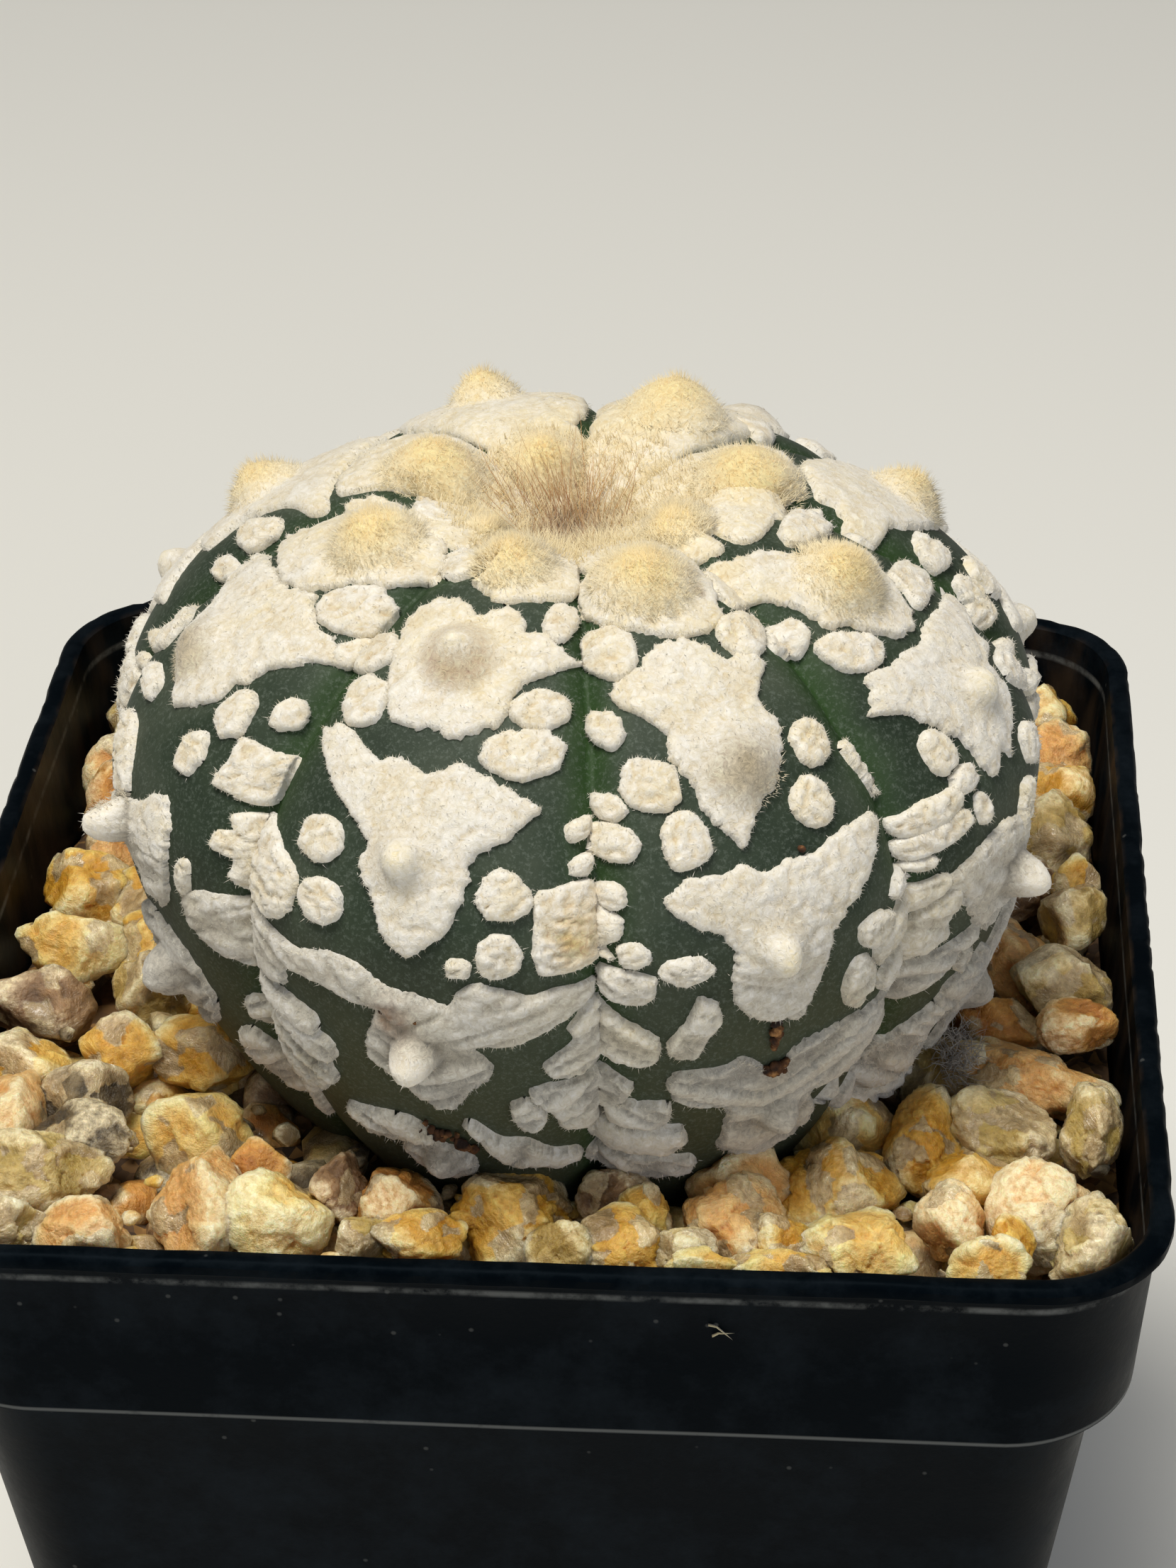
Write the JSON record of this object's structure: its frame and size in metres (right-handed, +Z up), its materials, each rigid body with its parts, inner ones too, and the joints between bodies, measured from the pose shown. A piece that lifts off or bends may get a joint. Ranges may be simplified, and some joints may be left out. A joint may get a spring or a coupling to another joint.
{
  "type": "potted cactus",
  "caption": "Low globe-shaped star cactus with broad ribs, raised white felt flecks and woolly areoles, in a small square black nursery pot dressed with golden gravel.",
  "frame": {"origin": "middle of the pot's flat foot, on the surface the pot stands on", "axes": "+Z up, the pot's sides along X and Y, -Y towards the side the plant is seen from, +X to the right from there"},
  "size_m": [0.065, 0.065, 0.0918],
  "materials": {
    "pot": "black blow-moulded polypropylene, satin",
    "soil": "dark potting mix, loose and dull",
    "gravel": "gold, peach and grey quartz gravel",
    "cactus": "dark green waxy skin with raised cream felt"
  },
  "bodies": {
    "root": {"pot": "pot", "soil": "soil", "gravel": "gravel", "cactus": "cactus"}
  },
  "joints": []
}
